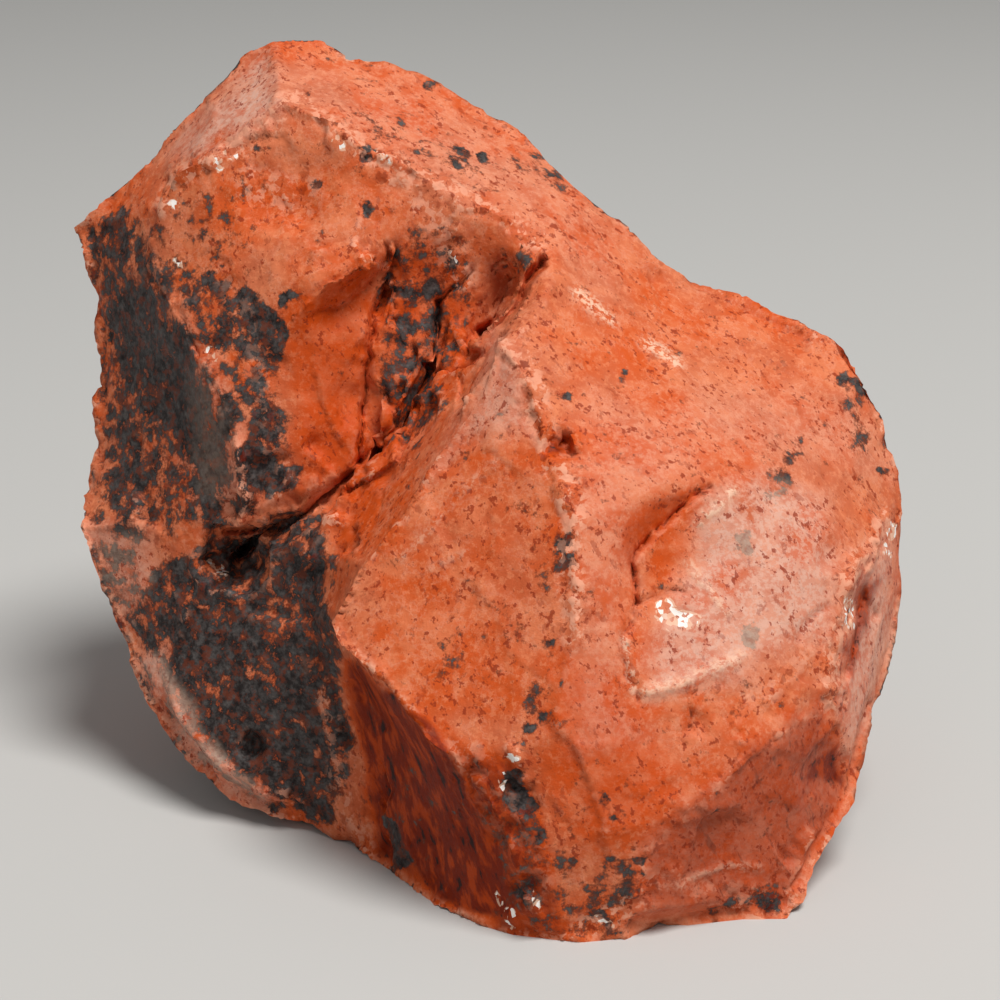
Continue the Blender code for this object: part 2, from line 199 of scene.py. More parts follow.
# Where the glass is black rather than red: how black, how soft the edge, and the outline.
BLACK_PLACES = {
    "left flake": (0.88, 5.0, [
        (-70, 95), (-64.5, 96.5), (-60.5, 91.5), (-55.5, 84), (-52, 78), (-46, 70), (-47.5, 64.5),
        (-49.5, 50.5), (-52, 47.5), (-54.5, 53), (-58.5, 55.5), (-57.5, 63), (-60.5, 65.5),
        (-64.5, 73), (-70, 78), (-71.5, 88),
    ]),
    "left mottle": (0.66, 5.0, [
        (-71.5, 78), (-64.5, 74), (-60.5, 65.5), (-58.5, 57), (-62, 47.5), (-70.5, 50.5),
        (-74, 57), (-73, 64.5),
    ]),
    "left side": (0.58, 7.0, [
        (-75.5, 107.5), (-63, 106.5), (-53, 91), (-47.5, 73), (-49.5, 51.5), (-66.5, 43.5),
        (-75.5, 50), (-73.5, 73),
    ]),
    "middle left": (0.60, 3.5, [
        (-63.5, 107), (-60, 106), (-58.5, 99.5), (-51, 98), (-45.5, 93.5), (-39.5, 89),
        (-39.5, 75.5), (-35.5, 63), (-35.5, 59.5), (-44.5, 61), (-48, 65.5), (-46, 70), (-52, 78),
        (-55.5, 84), (-60.5, 92.5), (-63.5, 98),
    ]),
    "middle patch": (0.80, 1.5, [
        (-49.5, 94), (-44.5, 92.5), (-39.5, 88.5), (-39.5, 81.5), (-44.5, 83), (-48, 86.5),
    ]),
    "middle foot": (0.84, 2.0, [
        (-47.5, 64.5), (-42, 70), (-40.5, 63), (-34.5, 59.5), (-40.5, 55), (-49.5, 50.5),
        (-48.5, 58),
    ]),
    "far left facet": (0.66, 1.5, [
        (-73.5, 104.5), (-68.5, 108.5), (-64.5, 108), (-64.5, 98.5), (-71, 94), (-73.5, 100.5),
    ]),
    "lower left face": (0.66, 3.0, [
        (-48.5, 50), (-38, 54.5), (-31.5, 55), (-29.5, 44.5), (-30, 33.5), (-28, 19), (-28, -5),
        (-36, -2.5), (-45, 1), (-54, 8.5), (-63, 23), (-68.5, 37), (-63, 44.5), (-54, 48),
    ]),
    "lower left core": (0.76, 4.0, [
        (-63, 44.5), (-48.5, 41), (-32.5, 30), (-30.5, 1), (-45, 3), (-56, 15.5), (-63, 30),
    ]),
    "left rim": (0.60, 2.5, [
        (-76, 50), (-70, 46), (-64, 30), (-56, 14), (-44, 3), (-38, 0), (-42, -4), (-55, 5),
        (-66, 22), (-73, 38),
    ]),
    "left foot mottle": (0.62, 3.0, [
        (-75.5, 50), (-63, 48), (-66.5, 37), (-70, 37),
    ]),
    "gully": (0.50, 3.0, [
        (-21, 105), (-11, 107), (-5, 101), (-5, 88), (-8, 77), (-14, 62), (-22, 64), (-23, 86),
    ]),
    "gully right": (0.44, 3.0, [(0, 103), (7, 101), (8, 98), (3, 92), (-2, 96)]),
    "gully core": (0.58, 3.0, [
        (-18.5, 98), (-11, 97), (-9, 89.5), (-13, 73), (-20, 64), (-23, 73), (-19.5, 86),
    ]),
    "toe": (0.48, 2.5, [(12, -13), (20, -8), (25, -13), (25, -24), (8, -25)]),
    "right toe": (0.60, 2.0, [(40, -16), (50, -14), (52, -20), (38, -20)]),
    "glassy chip": (0.74, 1.2, [(1, 5), (5, 5.5), (7.5, 1), (5, -2.5), (2, -1)]),
    "overhang foot": (0.95, 1.2, [(-21, -2), (-18, -3), (-17, -12), (-20, -12)]),
    "ridge spots": (0.50, 2.5, [(9, 50), (14, 50), (14, 43), (10, 43)]),
    "face spots": (0.50, 3.0, [(-14, 33), (-7, 33), (-7, 21), (-14, 21)]),
    "face cluster": (0.42, 4.0, [(-4, 40), (5.5, 39), (6.5, 30), (0, 25.5), (-5, 32)]),
    "face cluster high": (0.36, 4.0, [(3.5, 59), (11, 55), (12.5, 39), (6.5, 37), (3.5, 48)]),
    "face cluster low": (0.46, 3.0, [(6.5, 23), (11, 21), (11, 13), (5.5, 13)]),
    "nose cluster": (0.36, 4.0, [(14.5, 15.5), (20, 12), (22.5, -4), (16, -8)]),
    "nose spots": (0.46, 3.0, [(3, 23), (9, 23), (9, 14), (3, 14)]),
    "crest foot": (0.44, 3.0, [
        (-5.5, 3), (5.5, 5), (11, -8), (14.5, -23), (1, -22),
    ]),
    "overhang": (0.28, 3.0, [
        (-27, 26.5), (-18, 15.5), (-7, 3), (0, -17), (-11, -15), (-23.5, -8),
    ]),
    "crown spots": (0.38, 4.0, [(-36, 124), (-24, 128), (0, 118), (0, 108), (-24, 116)]),
    "brow spots": (0.46, 2.5, [(2, 118), (16, 116), (19, 110), (4, 112)]),
    "shoulder spots": (0.42, 4.0, [(46, 68), (54, 68), (52, 55), (46, 54)]),
    "scoop spot high": (0.62, 4.0, [(45, 59), (49.5, 62), (54.5, 61.5), (53.5, 54.5), (47.5, 53)]),
    "scoop spot middle": (0.64, 3.0, [(41, 50), (44.5, 51.5), (46, 48), (44, 41), (41.5, 40)]),
    "scoop spot low": (0.68, 2.5, [(43.5, 34), (47, 35.5), (49, 32), (47, 28), (44, 29)]),
    "shoulder streak": (0.55, 1.5, [(50, 66), (56, 68), (56, 62), (50, 61)]),
    "corner spots": (0.44, 3.0, [(60, 82), (68, 80), (69, 58), (63, 62)]),
    "left brow spots": (0.40, 4.0, [(-60, 112), (-44, 112), (-40, 98), (-58, 98)]),
}

# Single black spots: centre and radius.
SPOTS = [
    ((-56, 105), 1.2), ((-52, 96), 1.0), ((-38, 91.5), 1.2), ((-43, 118.5), 1.3),
    ((-33, 111.5), 1.0), ((-29.5, 109), 0.8), ((-24, 107.5), 1.6), ((-20.5, 107), 1.2),
    ((-49.5, 97), 0.8), ((-23, 117.5), 1.8), ((-14, 122.5), 1.0), ((-7.5, 117), 1.6),
    ((-3, 116.5), 1.2), ((-12, 129), 1.4), ((-34, 128), 0.8), ((11.5, 74), 1.0),
    ((21.5, 76.5), 1.2), ((62, 77.5), 1.4), ((64.5, 75.5), 1.4), ((68.5, 60.5), 1.2),
    ((11.5, 47), 1.8), ((13, 44), 1.4), ((8.5, 30), 1.2), ((11, 21), 1.2), ((7.5, 16.5), 1.4),
    ((5, 15), 1.2), ((18, 5.5), 1.0), ((19, 1), 1.1), ((20, -2.5), 1.0), ((13.5, -10), 1.2),
    ((24.5, -10.5), 1.6), ((7, -6), 1.4),
]

# Painted sheen: paler, smoky-looking glass where the facets would mirror the bright surroundings: how
# pale, how soft the edge, and the outline.
SHEEN_PLACES = {
    "scoop": (0.82, 4.0, [
        (37, 55), (47, 60.5), (57.5, 55), (60.5, 44.5), (59.5, 30), (48.5, 28), (43, 23), (29, 21),
        (26.5, 26), (29.5, 34), (35, 42), (36, 50),
    ]),
    "right top": (0.26, 6.0, [(36, 74), (65, 73), (70.5, 60.5), (47, 62.5), (27, 68.5)]),
    "shoulder": (0.26, 6.0, [(16, 73), (34, 69.5), (38, 61), (27, 56), (18, 58)]),
    "crown": (0.22, 6.0, [
        (-41.5, 134.5), (-14.5, 129), (7, 116.5), (20, 104), (20, 93), (7, 104), (-14.5, 114.5),
        (-36, 125.5),
    ]),
    "cream ledge": (0.75, 1.5, [(26, 20), (33, 20.5), (44, 25.5), (44, 28.5), (36, 27), (27, 23.5)]),
    "front of ridge": (0.25, 5.0, [(14, 62), (26, 62), (22, 40), (22, 20), (30, 12), (14, 10)]),
    "low front": (0.05, 6.0, [(16, 20), (40, 18), (50, 8), (30, -6), (14, -2)]),
    "top left facet": (0.95, 4.0, [(-42, 137), (-58, 118), (-46, 121), (-40, 126)]),
    "right brow": (0.55, 3.0, [(-1, 85), (4, 80), (4, 68), (-6, 66), (-12, 60), (-4, 74)]),
    "left foot": (0.78, 2.5, [(-66, 27), (-55, 7), (-42, -1), (-40, 2), (-51, 10), (-61, 28)]),
    "left elbow": (0.52, 3.0, [(-76, 50), (-64, 50), (-62, 40), (-68, 32)]),
    "right cheek": (0.72, 3.0, [(70, 50), (64, 40), (61, 20), (63, 8), (71, 30)]),
    "undercut": (0.22, 4.0, [(58, 20), (42, 8), (26, -6), (24, -20), (52, -18), (62, 2)]),
    "flake sheen": (0.42, 4.0, [(-57, 88), (-50, 76), (-46, 64), (-46, 54), (-56, 54), (-57, 70)]),
}

# The gully keeps its own steep planes: no broad scars inside this outline.
QUIET = [(-40, 96), (-20, 106), (10, 106), (12, 96), (0, 80), (-18, 56), (-34, 46), (-52, 46)]

# Painted glints: small white highlights laid on as colour; half width, and the stroke.
PAINTED_GLINTS = {
    "scoop": (2.8, [(30, 36), (31.5, 34), (33, 33)]),
    "scoop side": (1.4, [(29.5, 37), (31, 36.5)]),
    "cheek": (0.8, [(70.5, 51), (71, 49)]),
    "cheek low": (0.7, [(70, 47), (70, 45)]),
    "cheek chip": (1.0, [(63, 37), (62.5, 33)]),
    "chip": (0.8, [(0, 5.5), (0.5, 3)]),
    "crest spark": (0.8, [(2, 9), (3, 8)]),
    "brow": (1.0, [(-50, 118), (-48, 117)]),
    "brow left": (0.8, [(-60, 108.5), (-59, 107.5)]),
    "brow middle": (0.8, [(-51.5, 117), (-50, 115)]),
    "crown": (0.7, [(-21, 117), (-19.5, 116)]),
    "crown left": (0.6, [(-29, 120.5), (-28, 119)]),
    "left ridge": (0.6, [(-53.5, 82), (-52.5, 81)]),
    "left brow": (0.6, [(-58.5, 98), (-57.5, 96.5)]),
    "left hole": (0.8, [(-52, 43.5), (-50, 42.5)]),
    "gully": (0.6, [(-9.5, 100), (-8.5, 98)]),
    "crest foot": (0.7, [(5, -14), (6, -18)]),
    "crest foot left": (0.6, [(-0.5, -15.5), (0.5, -18)]),
    "toe": (0.7, [(2, -19.5), (3, -21)]),
    "toe right": (0.6, [(18, -20), (19.5, -21)]),
}

# Painted shade and deeper red: darker, purer red laid where shade falls, mostly under overhangs and in
# notches and hollows, and a deeper red on some open faces: how deep, how soft the edge, and the
# outline.
SHADE_AND_DEEP_RED_PLACES = {
    "overhang": (1.0, 1.5, [
        (-28, 27), (-20, 21), (-10, 12), (-3, 3), (2, -9), (5, -22), (-10, -17), (-22, -8),
        (-24, 6),
    ]),
    "slab": (0.12, 1.5, [(-29, 29), (-24, 20), (-22, -8), (-28, -6)]),
    "gully": (0.36, 3.0, [
        (-21, 104), (-6, 100), (-4, 88), (-8, 76), (-20, 58), (-30, 34), (-32, 55), (-24, 64),
    ]),
    "scoop plane": (0.30, 3.0, [
        (25, 44.5), (34, 54.5), (37, 51.5), (34, 44.5), (29.5, 37), (26, 37),
    ]),
    "nose": (0.38, 8.0, [(8, 33.5), (18, 28), (36, 5), (25, -8), (14.5, -9.5), (5.5, 8.5)]),
    "front left face": (0.16, 8.0, [
        (0, 69.5), (9, 60.5), (11, 19), (-3.5, 15.5), (-18, 30), (-12.5, 51.5),
    ]),
    "orange plane": (0.36, 4.0, [
        (-40, 92), (-24, 100), (-20, 90), (-20, 60), (-36, 56), (-38, 72),
    ]),
    "brow hollow": (0.22, 4.0, [(-46, 108), (-42, 116), (-32, 115), (-30, 106)]),
    "cheek notch": (0.8, 1.5, [
        (65, 41), (68.5, 42), (67, 37), (65, 28), (63, 22), (61.5, 28), (63, 34),
    ]),
    "corner chip": (0.9, 1.2, [(53, 5), (61, 11), (62, 3)]),
    "undercut": (0.60, 3.0, [(58, 20), (42, 8), (26, -6), (24, -20), (52, -18), (62, 2)]),
    "crescent hollow": (0.50, 1.5, [
        (38, 58), (34, 57), (30.5, 56), (27, 54.5), (24.5, 52), (22, 49.5), (21.5, 46), (22, 42),
        (23.5, 39), (24, 36), (25, 37), (24.5, 41), (24, 43.5), (25, 46), (26.5, 47.5), (28, 49.5),
        (31.5, 52.5), (35.5, 56),
    ]),
    "crest foot": (0.75, 2.5, [
        (-10, 14.5), (-3.5, 10), (2.5, 7.5), (5.5, 1), (8.5, -8), (11.5, -24), (0, -23),
        (-3.5, -4),
    ]),
    "ridge pit": (0.8, 1.0, [(9, 68), (13, 66), (12, 63), (9, 63)]),
}


# ---------------------------------------------------------------- places


def sheet_axes():
    """Rows that turn row-frame millimetres to the leaning sheet: across, up and out."""
    up = (0.0, math.sin(LEAN), math.cos(LEAN))
    out = (0.0, -math.cos(LEAN), math.sin(LEAN))
    return np.array([(1.0, 0.0, 0.0), up, out])


def to_sight(points):
    """Where each point shows on the sight sheet."""
    placed = (points - np.array(SHEET_SHIFT)) @ sheet_axes().T
    scale = SIGHT / (SIGHT - placed[:, 2])
    across = placed[:, 0] * scale
    up = EYE_HEIGHT + (placed[:, 1] - EYE_HEIGHT) * scale
    return np.stack([across, up], axis=1)


def facing(normals):
    """How squarely each point faces the eye."""
    return normals @ sheet_axes()[2]


def smoothstep(low, high, value):
    """Rises smoothly from 0 at the first level to 1 at the second."""
    t = np.clip((value - low) / (high - low), 0.0, 1.0)
    return t * t * (3.0 - 2.0 * t)


def line_distance(spots, line):
    """How far each spot lies from a drawn line."""
    best = np.full(len(spots), 1e9)
    for a, b in zip(np.array(line[:-1]), np.array(line[1:])):
        along = b - a
        t = np.clip((spots - a) @ along / (along @ along), 0.0, 1.0)
        best = np.minimum(best, np.linalg.norm(spots - a - t[:, None] * along, axis=1))
    return best


def ledge(spots, line, fade, straight=False):
    """One just left of a drawn line, falling away from it; nothing on its right side."""
    best = np.full(len(spots), 1e9)
    height = np.zeros(len(spots))
    ends = np.array(line, float)
    for i, (a, b) in enumerate(zip(ends[:-1], ends[1:])):
        along = b - a
        t = np.clip((spots - a) @ along / (along @ along), 0.0, 1.0)
        offset = spots - a - t[:, None] * along
        away = np.linalg.norm(offset, axis=1)
        left = along[0] * offset[:, 1] - along[1] * offset[:, 0] > 0.0
        share = (i + t) / (len(ends) - 1)
        fall = np.clip(1.0 - away / fade, 0.0, 1.0) if straight else np.exp(-away / fade)
        rise = left * fall * np.sin(np.pi * share) ** 0.6
        height = np.where(away < best, rise, height)
        best = np.minimum(best, away)
    return height


def inside(spots, outline):
    """Which spots lie inside a closed outline."""
    within = np.zeros(len(spots), bool)
    ends = np.array(outline, float)
    for a, b in zip(ends, np.roll(ends, -1, axis=0)):
        crosses = (a[1] > spots[:, 1]) != (b[1] > spots[:, 1])
        rise = b[1] - a[1] if b[1] != a[1] else 1e-9
        within ^= crosses & (spots[:, 0] < (b[0] - a[0]) * (spots[:, 1] - a[1]) / rise + a[0])
    return within


def place_weight(spots, outline, soft):
    """One inside an outline, zero outside it, with a soft edge."""
    away = line_distance(spots, list(outline) + [outline[0]])
    signed = np.where(inside(spots, outline), away, -away)
    return smoothstep(-soft, soft, signed)


def grain(points, size, seed, octaves=1):
    """Smooth noise between about -1 and 1, with bumps of the given size."""
    shift = Vector((seed * 17.3, seed * 5.1, seed * 9.7))
    found = np.zeros(len(points))
    level = 1.0
    for octave in range(octaves):
        scale = 2.0**octave / size
        found += level * np.array([noise.noise(Vector(p) * scale + shift) for p in points])
        level *= 0.5
    return found


def drift(points, size, seeds, octaves=1):
    """Small shifts across and up the sheet, so that no drawn mark runs smooth."""
    return np.stack([grain(points, size, seed, octaves) for seed in seeds], axis=1)


def angular(points, size, seed):
    """Broken ground: flat chips of the given size, each tilted and set its own way."""
    shift = Vector((seed * 3.7, seed * 8.9, seed * 2.3))
    found = np.zeros(len(points))
    for i, point in enumerate(points):
        at = Vector(point) / size + shift
        at += noise.noise_vector(at * 1.3) * 0.30
        middle = noise.voronoi(at)[1][0]
        tilt = noise.noise_vector(middle * 7.31)
        found[i] = 1.6 * tilt.dot(at - middle) + noise.noise(middle * 5.17)
    return found


# ---------------------------------------------------------------- skin


class Skin:
    """The stone's surface as arrays: points in millimetres, triangles and edges."""

    def __init__(self, mesh):
        self.points = np.empty(len(mesh.vertices) * 3)
        mesh.vertices.foreach_get("co", self.points)
        self.points = self.points.reshape(-1, 3)
        self.faces = np.empty(len(mesh.polygons) * 3, np.int64)
        mesh.polygons.foreach_get("vertices", self.faces)
        self.faces = self.faces.reshape(-1, 3)
        self.edges = np.empty(len(mesh.edges) * 2, np.int64)
        mesh.edges.foreach_get("vertices", self.edges)
        self.edges = self.edges.reshape(-1, 2)
        self.links = np.bincount(self.edges.ravel(), minlength=len(self.points))
        self.base = self.points[:, 2] < 0.05

    def normals(self):
        a, b, c = (self.points[self.faces[:, i]] for i in range(3))
        flat = np.cross(b - a, c - a)
        total = np.zeros_like(self.points)
        for i in range(3):
            for axis in range(3):
                total[:, axis] += np.bincount(self.faces[:, i], flat[:, axis], len(total))
        return total / np.maximum(np.linalg.norm(total, axis=1), 1e-12)[:, None]

    def averaged(self, values, rounds):
        """Values spread to their neighbours, again and again."""
        values = values.astype(float)
        columns = values.reshape(len(values), -1).copy()
        a, b = self.edges[:, 0], self.edges[:, 1]
        for _ in range(rounds):
            for i in range(columns.shape[1]):
                near = np.bincount(a, columns[b, i], len(columns))
                near += np.bincount(b, columns[a, i], len(columns))
                columns[:, i] = 0.5 * columns[:, i] + 0.5 * near / self.links
        return columns.reshape(values.shape)

    def relief(self, rounds):
        """How far each point stands out of its surroundings: ridges above 0, pits below."""
        settled = self.averaged(self.points, rounds)
        return np.einsum("ij,ij->i", self.points - settled, self.normals())

    def push(self, amount):
        """Move the points along their normals, and keep the resting face flat."""
        self.shift(self.normals() * amount[:, None])

    def shift(self, amount):
        """Move the points as told, and keep the resting face flat."""
        self.points += np.where(self.base, 0.0, 1.0)[:, None] * amount
        self.points[:, 2] = np.maximum(self.points[:, 2], 0.0)

    def ease(self, weight, rounds):
        """Smooth the surface where the weight is above 0."""
        self.shift(weight[:, None] * (self.averaged(self.points, rounds) - self.points))

    def flake(self, at, out, radius, depth, uneven):
        """Knock a flake off: the surface falls back to a big ball that dips below the place."""
        reach = 1.5 * math.sqrt(2.0 * radius * depth)
        near = np.flatnonzero(np.abs(self.points - at).max(axis=1) < reach)
        near = near[~self.base[near]]
        centre = at + out * (radius - depth)
        offset = self.points[near] - centre
        away = np.linalg.norm(offset, axis=1)
        fade = smoothstep(reach, 0.8 * reach, np.linalg.norm(self.points[near] - at, axis=1))
        sink = np.clip(radius - away + uneven[near] * 0.25 * depth, 0.0, 1.4 * depth) * fade
        self.points[near] += offset / away[:, None] * sink[:, None]
        self.points[near, 2] = np.maximum(self.points[near, 2], 0.0)


# ---------------------------------------------------------------- mesh


def fine_body(node):
    """A merged copy of the solid, split until its edges are short and smoothed between its folds."""
    bm = bmesh.new()
    bm.from_mesh(node.data)
    bmesh.ops.remove_doubles(bm, verts=bm.verts, dist=1e-6)
    bmesh.ops.scale(bm, vec=(1 / MM, 1 / MM, 1 / MM), verts=bm.verts)
    for edge in bm.edges:
        edge.smooth = edge.calc_face_angle(0.0) < CREASE
    outward = Vector(sheet_axes()[2])
    for _ in range(MOST_SPLITS):
        bm.normal_update()
        long_edges = []
        for edge in bm.edges:
            a, b = edge.verts
            shown = (a.normal + b.normal).dot(outward) > 0.0
            wanted = FRONT_EDGE if shown else BACK_EDGE
            if edge.calc_length() > SPLIT_PAST * wanted:
                long_edges.append(edge)
        if not long_edges:
            break
        bmesh.ops.subdivide_edges(bm, edges=long_edges, cuts=1)
        bmesh.ops.triangulate(bm, faces=[f for f in bm.faces if len(f.verts) > 3])
    sharp = {v for e in bm.edges if not e.smooth for v in e.verts}
    free = [v for v in bm.verts if v not in sharp and v.co.z > 0.02]
    for _ in range(SMOOTH_ROUNDS):
        bmesh.ops.smooth_vert(
            bm, verts=free, factor=0.5, use_axis_x=True, use_axis_y=True, use_axis_z=True
        )
    return bm


def gathered(rows, owner, count):
    """The rows of each group added up."""
    return np.stack([np.bincount(owner, rows[:, k], count) for k in range(3)], axis=1)


def flatten_faces(skin, size, lean, strength, seed):
    """Gather the surface into faces of about this size and press each one flat.
    Points are gathered by place and by the way they face, so the faces meet at the ridges."""
    draw = np.random.default_rng(seed)
    normals = skin.averaged(skin.normals(), 3)
    keys = skin.points + normals * lean
    a, b, c = (skin.points[skin.faces[:, i]] for i in range(3))
    area = np.linalg.norm(np.cross(b - a, c - a), axis=1)
    count = int(0.5 * area.sum() / size**2)
    middles = keys[draw.choice(len(keys), count, replace=False)]
    for _ in range(4):
        tree = KDTree(count)
        for i, middle in enumerate(middles):
            tree.insert(middle, i)
        tree.balance()
        owner = np.array([tree.find(key)[1] for key in keys])
        members = np.maximum(np.bincount(owner, minlength=count), 1)[:, None]
        middles = gathered(keys, owner, count) / members
    centres = gathered(skin.points, owner, count) / members
    facings = gathered(normals, owner, count)
    facings /= np.maximum(np.linalg.norm(facings, axis=1), 1e-9)[:, None]
    plane = facings[owner]
    sink = np.einsum("ij,ij->i", centres[owner] - skin.points, plane)
    sink = np.clip(sink, -MOST_PRESS, MOST_PRESS)
    sink *= 1.0 - smoothstep(0.20, 0.60, np.abs(skin.relief(30)))
    skin.shift(skin.averaged(plane * sink[:, None], 1) * strength)


def ease_places(skin, share):
    """Round over the folds that the fine marks take the place of."""
    spots = to_sight(skin.points)
    front = smoothstep(0.0, 0.3, facing(skin.normals()))
    for rounds, outline in EASED_PLACES.values():
        skin.ease(place_weight(spots, outline, 3.0) * front, int(rounds * share))


def crushed_edges(spots):
    """How crushed each spot is, from the named edges."""
    found = np.zeros(len(spots))
    for half, strength, line in CRUSHED_EDGES.values():
        away = line_distance(spots, line) / half
        found = np.maximum(found, strength * (1.0 - smoothstep(0.35, 1.0, away)))
    return found


def carve_uneven(skin):
    """Broad waves of the fracture faces, and broken ground where the glass is crushed."""
    skin.push(grain(skin.points, 12.0, 1) * 0.12 + grain(skin.points, 4.0, 2) * 0.03)
    spots = to_sight(skin.points)
    spots = spots + drift(skin.points, 4.0, (4, 5)) * 1.4
    front = smoothstep(-0.10, 0.15, facing(skin.normals()))
    ridge = smoothstep(0.05, 0.35, skin.averaged(np.maximum(skin.relief(12), 0.0), 5))
    patchy = smoothstep(-0.1, 0.35, grain(skin.points, 14.0, 10))
    skin.crushed = np.maximum(front * crushed_edges(spots), 0.75 * ridge * patchy)
    broken = angular(skin.points, 4.2, 1) * 0.55 + angular(skin.points, 2.0, 2) * 0.30
    quiet = angular(skin.points, 8.0, 3) * 0.13 + angular(skin.points, 3.6, 4) * 0.05
    skin.push(broken * skin.crushed + quiet)


def carve_marks(skin):
    """The named scoops, ledges, cracks and hackles of the front, cut straight away from the eye."""
    spots = to_sight(skin.points)
    wander = drift(skin.points, 3.4, (4, 5), octaves=2)
    front = smoothstep(0.0, 0.25, facing(skin.normals()))
    amount = np.zeros(len(spots))
    skin.scuffed = np.zeros(len(spots))
    for centre, radius, depth in SCOOPS.values():
        away = np.linalg.norm(spots + wander * 1.5 - np.array(centre), axis=1) / radius
        amount -= depth * np.clip(1.0 - away * away, 0.0, 1.0)
    for height, fade, line in LEDGES.values():
        amount += height * ledge(spots + wander * 0.5, line, fade)
    for depth, width, line in BITES.values():
        amount -= depth * ledge(spots + wander * 0.5, line, width, straight=True)
    for half, height, paleness, line in HACKLES.values():
        away = line_distance(spots + wander * 0.5, line) / half
        amount += height * np.exp(-away * away)
        # paleness: cream scuffs, and a painted highlight on the streak and the scoop glint line
        skin.scuffed = np.maximum(skin.scuffed, paleness * front * np.exp(-away * away * 0.6))
    square = smoothstep(0.35, 0.65, facing(skin.averaged(skin.normals(), 6)))
    for half, depth, line in CRACKS.values():
        away = line_distance(spots + wander * 0.7, line) / half
        amount -= depth * np.clip(1.0 - away, 0.0, 1.0) * square
    skin.shift(sheet_axes()[2] * (amount * front)[:, None])


def step_faces(skin, count, seed):
    """Many small curved steps across the front, where one flake ended and the next began."""
    draw = np.random.default_rng(seed)
    spots = to_sight(skin.points)
    wander = drift(skin.points, 3.4, (4, 5), octaves=2)
    front = smoothstep(0.1, 0.4, facing(skin.normals()))
    amount = np.zeros(len(spots))
    for i in draw.choice(np.flatnonzero(front > 0.5), count):
        turn = draw.uniform(0.0, 2.0 * math.pi)
        radius = draw.uniform(4.0, 18.0)
        sweep = draw.uniform(0.4, 1.1)
        angles = turn + np.linspace(-sweep, sweep, 6)
        ring = np.stack([np.cos(angles), np.sin(angles)], axis=1)
        line = spots[i] + radius * (ring - ring[3])
        height = draw.uniform(0.12, 0.40)
        amount += height * ledge(spots + wander * 0.8, line, draw.uniform(1.5, 5.0))
    skin.shift(sheet_axes()[2] * (amount * front)[:, None])


def chip_ridges(skin, count, smallest, largest, seed):
    """Small flat flakes off the ridges."""
    draw = np.random.default_rng(seed)
    relief = skin.averaged(skin.relief(10), 2)
    normals = skin.averaged(skin.normals(), 3)
    uneven = grain(skin.points, 1.7, seed, 2)
    ridge = np.flatnonzero((relief > 0.15) & ~skin.base)
    for i in draw.choice(ridge, count):
        radius = draw.uniform(smallest, largest)
        depth = min(relief[i], 0.8) * draw.uniform(0.15, 0.55)
        out = normals[i] + draw.normal(0.0, 0.35, 3)
        out /= np.linalg.norm(out)
        skin.flake(skin.points[i], out, radius, depth, uneven)


def scar_faces(skin, low, high, count, sizes, depths, tilt, seed):
    """Broad, shallow flake scars on the faces turned this much to the eye."""
    draw = np.random.default_rng(seed)
    normals = skin.averaged(skin.normals(), 8)
    turned = facing(normals)
    uneven = grain(skin.points, 7.0, seed, 3)
    even = np.abs(skin.relief(40)) < 0.6
    even &= ~inside(to_sight(skin.points), QUIET) | (turned < -0.1)
    even &= skin.points[:, 2] > 8.0
    places = np.flatnonzero((turned > low) & (turned < high) & even)
    for i in draw.choice(places, count):
        out = normals[i] + draw.normal(0.0, tilt, 3)
        out /= np.linalg.norm(out)
        skin.flake(skin.points[i], out, draw.uniform(*sizes), draw.uniform(*depths), uneven)


def blend_places(spots, places, start=0.0):
    """The strongest of the named places at each spot."""
    found = np.full(len(spots), start)
    for amount, soft, outline in places.values():
        found = np.maximum(found, amount * place_weight(spots, outline, soft))
    return found


def write_values(mesh, name, values):
    """Keep one number for each point of the mesh, for the finish to read."""
    layer = mesh.attributes.new(name, "FLOAT", "POINT")
    layer.data.foreach_set("value", values.astype(np.float32))


def blunt_needles(skin):
    """Take back the chips that stand out too far, and the thin edge on the very top."""
    skin.ease(smoothstep(*NEEDLE, skin.relief(8)), 8)
    skin.ease(smoothstep(*TOP_FIN, skin.points[:, 2]), 5)


